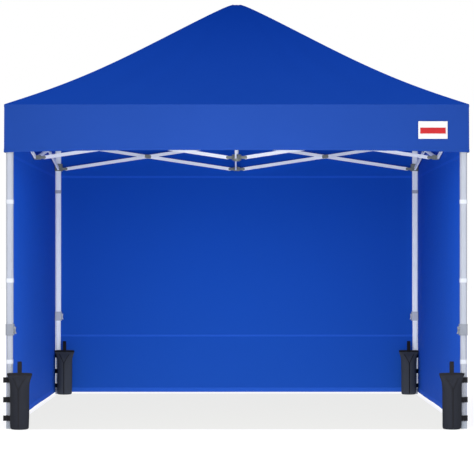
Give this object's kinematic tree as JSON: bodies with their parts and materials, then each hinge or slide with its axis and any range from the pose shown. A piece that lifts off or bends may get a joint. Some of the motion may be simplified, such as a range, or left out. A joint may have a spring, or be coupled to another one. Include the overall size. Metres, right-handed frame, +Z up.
{
  "type": "pop up canopy",
  "caption": "Square pop up canopy with a folding scissor frame, telescoping legs, peaked cloth roof with valance, cloth walls on back and sides, and weight bags at the feet.",
  "frame": {"origin": "on the floor, under the centre post", "axes": "+X to the right and +Y to the back seen from the open front, +Z up"},
  "size_m": [2.942, 3.033, 2.915],
  "materials": {
    "roof_cloth": "woven polyester",
    "wall_cloth": "woven polyester",
    "bag_cloth": "coated nylon",
    "truss_white": "satin powder coat",
    "leg_white": "satin powder coat",
    "grey_plastic": "moulded",
    "light_plastic": "moulded"
  },
  "bodies": {
    "centre_up": {"centre_up": "grey_plastic", "roof": "roof_cloth"},
    "bar_if1": {"bar_if1": "truss_white"},
    "bar_if2": {"bar_if2": "truss_white"},
    "hub_f_low": {"hub_f_low": "grey_plastic"},
    "hub_f_up": {"hub_f_up": "grey_plastic"},
    "centre_low": {"centre_low": "grey_plastic", "post": "truss_white"},
    "bar_ib1": {"bar_ib1": "truss_white"},
    "bar_ib2": {"bar_ib2": "truss_white"},
    "hub_b_low": {"hub_b_low": "grey_plastic"},
    "hub_b_up": {"hub_b_up": "grey_plastic", "wall_back": "wall_cloth"},
    "bar_il1": {"bar_il1": "truss_white"},
    "bar_il2": {"bar_il2": "truss_white"},
    "hub_l_low": {"hub_l_low": "grey_plastic"},
    "hub_l_up": {"hub_l_up": "grey_plastic", "wall_left": "wall_cloth"},
    "bar_ir1": {"bar_ir1": "truss_white"},
    "bar_ir2": {"bar_ir2": "truss_white"},
    "hub_r_low": {"hub_r_low": "grey_plastic"},
    "hub_r_up": {"hub_r_up": "grey_plastic", "wall_right": "wall_cloth"},
    "bar_f1": {"bar_f1": "truss_white"},
    "bar_f2": {"bar_f2": "truss_white"},
    "leg_fl": {"leg_fl": "leg_white"},
    "slider_fl": {"slider_fl": "grey_plastic"},
    "bar_f3": {"bar_f3": "truss_white"},
    "bar_f4": {"bar_f4": "truss_white"},
    "leg_fr": {"leg_fr": "leg_white"},
    "slider_fr": {"slider_fr": "grey_plastic"},
    "bar_b1": {"bar_b1": "truss_white"},
    "bar_b2": {"bar_b2": "truss_white"},
    "leg_rl": {"leg_rl": "leg_white"},
    "slider_rl": {"slider_rl": "grey_plastic"},
    "bar_b3": {"bar_b3": "truss_white"},
    "bar_b4": {"bar_b4": "truss_white"},
    "leg_rr": {"leg_rr": "leg_white"},
    "slider_rr": {"slider_rr": "grey_plastic"},
    "bar_l1": {"bar_l1": "truss_white"},
    "bar_l2": {"bar_l2": "truss_white"},
    "bar_l3": {"bar_l3": "truss_white"},
    "bar_l4": {"bar_l4": "truss_white"},
    "bar_r1": {"bar_r1": "truss_white"},
    "bar_r2": {"bar_r2": "truss_white"},
    "bar_r3": {"bar_r3": "truss_white"},
    "bar_r4": {"bar_r4": "truss_white"},
    "foot_fl": {"inner_leg_fl": "leg_white", "bag_fl": "bag_cloth"},
    "lock_fl": {"lock_fl": "light_plastic"},
    "foot_fr": {"inner_leg_fr": "leg_white", "bag_fr": "bag_cloth"},
    "lock_fr": {"lock_fr": "light_plastic"},
    "foot_rl": {"inner_leg_rl": "leg_white", "bag_rl": "bag_cloth"},
    "lock_rl": {"lock_rl": "light_plastic"},
    "foot_rr": {"inner_leg_rr": "leg_white", "bag_rr": "bag_cloth"},
    "lock_rr": {"lock_rr": "light_plastic"}
  },
  "joints": [
    {"name": "fold", "type": "hinge", "parent": "centre_up", "child": "bar_if1", "pos_m": [0, -0.065, 2.015], "axis": [1, 0, 0], "range_deg": [0, 76.38], "deforming": ["roof", "wall_back", "wall_left", "wall_right"]},
    {"name": "hub_f_low", "type": "hinge", "parent": "bar_if1", "child": "hub_f_low", "pos_m": [0, -1.385, 1.815], "axis": [1, 0, 0], "range_deg": [-76.38, 0]},
    {"name": "inner_f2", "type": "hinge", "parent": "bar_if1", "child": "bar_if2", "pos_m": [0, -0.725, 1.915], "axis": [1, 0, 0], "range_deg": [-152.77, 0]},
    {"name": "hub_f_up", "type": "hinge", "parent": "bar_if2", "child": "hub_f_up", "pos_m": [0, -1.385, 2.015], "axis": [1, 0, 0], "range_deg": [0, 76.38]},
    {"name": "centre_low", "type": "hinge", "parent": "bar_if2", "child": "centre_low", "pos_m": [0, -0.065, 1.815], "axis": [1, 0, 0], "range_deg": [0, 76.38]},
    {"name": "inner_b1", "type": "hinge", "parent": "centre_up", "child": "bar_ib1", "pos_m": [0, 0.065, 2.015], "axis": [-1, 0, 0], "range_deg": [0, 76.38]},
    {"name": "hub_b_low", "type": "hinge", "parent": "bar_ib1", "child": "hub_b_low", "pos_m": [0, 1.385, 1.815], "axis": [-1, 0, 0], "range_deg": [-76.38, 0]},
    {"name": "inner_b2", "type": "hinge", "parent": "bar_ib1", "child": "bar_ib2", "pos_m": [0, 0.725, 1.915], "axis": [-1, 0, 0], "range_deg": [-152.77, 0]},
    {"name": "hub_b_up", "type": "hinge", "parent": "bar_ib2", "child": "hub_b_up", "pos_m": [0, 1.385, 2.015], "axis": [-1, 0, 0], "range_deg": [0, 76.38]},
    {"name": "inner_l1", "type": "hinge", "parent": "centre_up", "child": "bar_il1", "pos_m": [-0.065, 0, 2.015], "axis": [0, -1, 0], "range_deg": [0, 76.38]},
    {"name": "hub_l_low", "type": "hinge", "parent": "bar_il1", "child": "hub_l_low", "pos_m": [-1.385, 0, 1.815], "axis": [0, -1, 0], "range_deg": [-76.38, 0]},
    {"name": "inner_l2", "type": "hinge", "parent": "bar_il1", "child": "bar_il2", "pos_m": [-0.725, 0, 1.915], "axis": [0, -1, 0], "range_deg": [-152.77, 0]},
    {"name": "hub_l_up", "type": "hinge", "parent": "bar_il2", "child": "hub_l_up", "pos_m": [-1.385, 0, 2.015], "axis": [0, -1, 0], "range_deg": [0, 76.38]},
    {"name": "inner_r1", "type": "hinge", "parent": "centre_up", "child": "bar_ir1", "pos_m": [0.065, 0, 2.015], "axis": [0, 1, 0], "range_deg": [0, 76.38]},
    {"name": "hub_r_low", "type": "hinge", "parent": "bar_ir1", "child": "hub_r_low", "pos_m": [1.385, 0, 1.815], "axis": [0, 1, 0], "range_deg": [-76.38, 0]},
    {"name": "inner_r2", "type": "hinge", "parent": "bar_ir1", "child": "bar_ir2", "pos_m": [0.725, 0, 1.915], "axis": [0, 1, 0], "range_deg": [-152.77, 0]},
    {"name": "hub_r_up", "type": "hinge", "parent": "bar_ir2", "child": "hub_r_up", "pos_m": [1.385, 0, 2.015], "axis": [0, 1, 0], "range_deg": [0, 76.38]},
    {"name": "bar_f1", "type": "hinge", "parent": "hub_f_low", "child": "bar_f1", "pos_m": [-0.055, -1.44, 1.815], "axis": [0, -1, 0], "range_deg": [-76.38, 0]},
    {"name": "bar_f2", "type": "hinge", "parent": "hub_f_up", "child": "bar_f2", "pos_m": [-0.055, -1.44, 2.015], "axis": [0, -1, 0], "range_deg": [0, 76.38]},
    {"name": "leg_fl", "type": "hinge", "parent": "bar_f1", "child": "leg_fl", "pos_m": [-1.375, -1.44, 2.015], "axis": [0, -1, 0], "range_deg": [0, 76.38]},
    {"name": "slider_fl", "type": "hinge", "parent": "bar_f2", "child": "slider_fl", "pos_m": [-1.375, -1.44, 1.815], "axis": [0, -1, 0], "range_deg": [-76.38, 0]},
    {"name": "bar_f3", "type": "hinge", "parent": "hub_f_low", "child": "bar_f3", "pos_m": [0.055, -1.44, 1.815], "axis": [0, 1, 0], "range_deg": [-76.38, 0]},
    {"name": "bar_f4", "type": "hinge", "parent": "hub_f_up", "child": "bar_f4", "pos_m": [0.055, -1.44, 2.015], "axis": [0, 1, 0], "range_deg": [0, 76.38]},
    {"name": "leg_fr", "type": "hinge", "parent": "bar_f3", "child": "leg_fr", "pos_m": [1.375, -1.44, 2.015], "axis": [0, 1, 0], "range_deg": [0, 76.38]},
    {"name": "slider_fr", "type": "hinge", "parent": "bar_f4", "child": "slider_fr", "pos_m": [1.375, -1.44, 1.815], "axis": [0, 1, 0], "range_deg": [-76.38, 0]},
    {"name": "bar_b1", "type": "hinge", "parent": "hub_b_low", "child": "bar_b1", "pos_m": [-0.055, 1.44, 1.815], "axis": [0, -1, 0], "range_deg": [-76.38, 0]},
    {"name": "bar_b2", "type": "hinge", "parent": "hub_b_up", "child": "bar_b2", "pos_m": [-0.055, 1.44, 2.015], "axis": [0, -1, 0], "range_deg": [0, 76.38]},
    {"name": "leg_rl", "type": "hinge", "parent": "bar_b1", "child": "leg_rl", "pos_m": [-1.375, 1.44, 2.015], "axis": [0, -1, 0], "range_deg": [0, 76.38]},
    {"name": "slider_rl", "type": "hinge", "parent": "bar_b2", "child": "slider_rl", "pos_m": [-1.375, 1.44, 1.815], "axis": [0, -1, 0], "range_deg": [-76.38, 0]},
    {"name": "bar_b3", "type": "hinge", "parent": "hub_b_low", "child": "bar_b3", "pos_m": [0.055, 1.44, 1.815], "axis": [0, 1, 0], "range_deg": [-76.38, 0]},
    {"name": "bar_b4", "type": "hinge", "parent": "hub_b_up", "child": "bar_b4", "pos_m": [0.055, 1.44, 2.015], "axis": [0, 1, 0], "range_deg": [0, 76.38]},
    {"name": "leg_rr", "type": "hinge", "parent": "bar_b3", "child": "leg_rr", "pos_m": [1.375, 1.44, 2.015], "axis": [0, 1, 0], "range_deg": [0, 76.38]},
    {"name": "slider_rr", "type": "hinge", "parent": "bar_b4", "child": "slider_rr", "pos_m": [1.375, 1.44, 1.815], "axis": [0, 1, 0], "range_deg": [-76.38, 0]},
    {"name": "bar_l1", "type": "hinge", "parent": "hub_l_low", "child": "bar_l1", "pos_m": [-1.44, -0.055, 1.815], "axis": [1, 0, 0], "range_deg": [-76.38, 0]},
    {"name": "bar_l2", "type": "hinge", "parent": "hub_l_up", "child": "bar_l2", "pos_m": [-1.44, -0.055, 2.015], "axis": [1, 0, 0], "range_deg": [0, 76.38]},
    {"name": "bar_l3", "type": "hinge", "parent": "hub_l_low", "child": "bar_l3", "pos_m": [-1.44, 0.055, 1.815], "axis": [-1, 0, 0], "range_deg": [-76.38, 0]},
    {"name": "bar_l4", "type": "hinge", "parent": "hub_l_up", "child": "bar_l4", "pos_m": [-1.44, 0.055, 2.015], "axis": [-1, 0, 0], "range_deg": [0, 76.38]},
    {"name": "bar_r1", "type": "hinge", "parent": "hub_r_low", "child": "bar_r1", "pos_m": [1.44, -0.055, 1.815], "axis": [1, 0, 0], "range_deg": [-76.38, 0]},
    {"name": "bar_r2", "type": "hinge", "parent": "hub_r_up", "child": "bar_r2", "pos_m": [1.44, -0.055, 2.015], "axis": [1, 0, 0], "range_deg": [0, 76.38]},
    {"name": "bar_r3", "type": "hinge", "parent": "hub_r_low", "child": "bar_r3", "pos_m": [1.44, 0.055, 1.815], "axis": [-1, 0, 0], "range_deg": [-76.38, 0]},
    {"name": "bar_r4", "type": "hinge", "parent": "hub_r_up", "child": "bar_r4", "pos_m": [1.44, 0.055, 2.015], "axis": [-1, 0, 0], "range_deg": [0, 76.38]},
    {"name": "height_fl", "type": "slide", "parent": "leg_fl", "child": "foot_fl", "axis": [0, 0, 1], "range_m": [0, 0.24], "stiffness_N_per_m": 40000},
    {"name": "lock_fl", "type": "hinge", "parent": "leg_fl", "child": "lock_fl", "pos_m": [-1.407, -1.44, 0.64], "axis": [0, 1, 0], "range_deg": [-18, 0]},
    {"name": "height_fr", "type": "slide", "parent": "leg_fr", "child": "foot_fr", "axis": [0, 0, 1], "range_m": [0, 0.24], "stiffness_N_per_m": 40000},
    {"name": "lock_fr", "type": "hinge", "parent": "leg_fr", "child": "lock_fr", "pos_m": [1.407, -1.44, 0.64], "axis": [0, 1, 0], "range_deg": [0, 18]},
    {"name": "height_rl", "type": "slide", "parent": "leg_rl", "child": "foot_rl", "axis": [0, 0, 1], "range_m": [0, 0.24], "stiffness_N_per_m": 40000},
    {"name": "lock_rl", "type": "hinge", "parent": "leg_rl", "child": "lock_rl", "pos_m": [-1.407, 1.44, 0.64], "axis": [0, 1, 0], "range_deg": [-18, 0]},
    {"name": "height_rr", "type": "slide", "parent": "leg_rr", "child": "foot_rr", "axis": [0, 0, 1], "range_m": [0, 0.24], "stiffness_N_per_m": 40000},
    {"name": "lock_rr", "type": "hinge", "parent": "leg_rr", "child": "lock_rr", "pos_m": [1.407, 1.44, 0.64], "axis": [0, 1, 0], "range_deg": [0, 18]}
  ],
  "couplings": [
    {"joint": "hub_f_low", "follows": "fold", "ratio": -1},
    {"joint": "inner_f2", "follows": "fold", "ratio": -2},
    {"joint": "hub_f_up", "follows": "fold", "ratio": 1},
    {"joint": "centre_low", "follows": "fold", "ratio": 1},
    {"joint": "inner_b1", "follows": "fold", "ratio": 1},
    {"joint": "hub_b_low", "follows": "fold", "ratio": -1},
    {"joint": "inner_b2", "follows": "fold", "ratio": -2},
    {"joint": "hub_b_up", "follows": "fold", "ratio": 1},
    {"joint": "inner_l1", "follows": "fold", "ratio": 1},
    {"joint": "hub_l_low", "follows": "fold", "ratio": -1},
    {"joint": "inner_l2", "follows": "fold", "ratio": -2},
    {"joint": "hub_l_up", "follows": "fold", "ratio": 1},
    {"joint": "inner_r1", "follows": "fold", "ratio": 1},
    {"joint": "hub_r_low", "follows": "fold", "ratio": -1},
    {"joint": "inner_r2", "follows": "fold", "ratio": -2},
    {"joint": "hub_r_up", "follows": "fold", "ratio": 1},
    {"joint": "bar_f1", "follows": "fold", "ratio": -1},
    {"joint": "bar_f2", "follows": "fold", "ratio": 1},
    {"joint": "leg_fl", "follows": "fold", "ratio": 1},
    {"joint": "slider_fl", "follows": "fold", "ratio": -1},
    {"joint": "bar_f3", "follows": "fold", "ratio": -1},
    {"joint": "bar_f4", "follows": "fold", "ratio": 1},
    {"joint": "leg_fr", "follows": "fold", "ratio": 1},
    {"joint": "slider_fr", "follows": "fold", "ratio": -1},
    {"joint": "bar_b1", "follows": "fold", "ratio": -1},
    {"joint": "bar_b2", "follows": "fold", "ratio": 1},
    {"joint": "leg_rl", "follows": "fold", "ratio": 1},
    {"joint": "slider_rl", "follows": "fold", "ratio": -1},
    {"joint": "bar_b3", "follows": "fold", "ratio": -1},
    {"joint": "bar_b4", "follows": "fold", "ratio": 1},
    {"joint": "leg_rr", "follows": "fold", "ratio": 1},
    {"joint": "slider_rr", "follows": "fold", "ratio": -1},
    {"joint": "bar_l1", "follows": "fold", "ratio": -1},
    {"joint": "bar_l2", "follows": "fold", "ratio": 1},
    {"joint": "bar_l3", "follows": "fold", "ratio": -1},
    {"joint": "bar_l4", "follows": "fold", "ratio": 1},
    {"joint": "bar_r1", "follows": "fold", "ratio": -1},
    {"joint": "bar_r2", "follows": "fold", "ratio": 1},
    {"joint": "bar_r3", "follows": "fold", "ratio": -1},
    {"joint": "bar_r4", "follows": "fold", "ratio": 1}
  ]
}
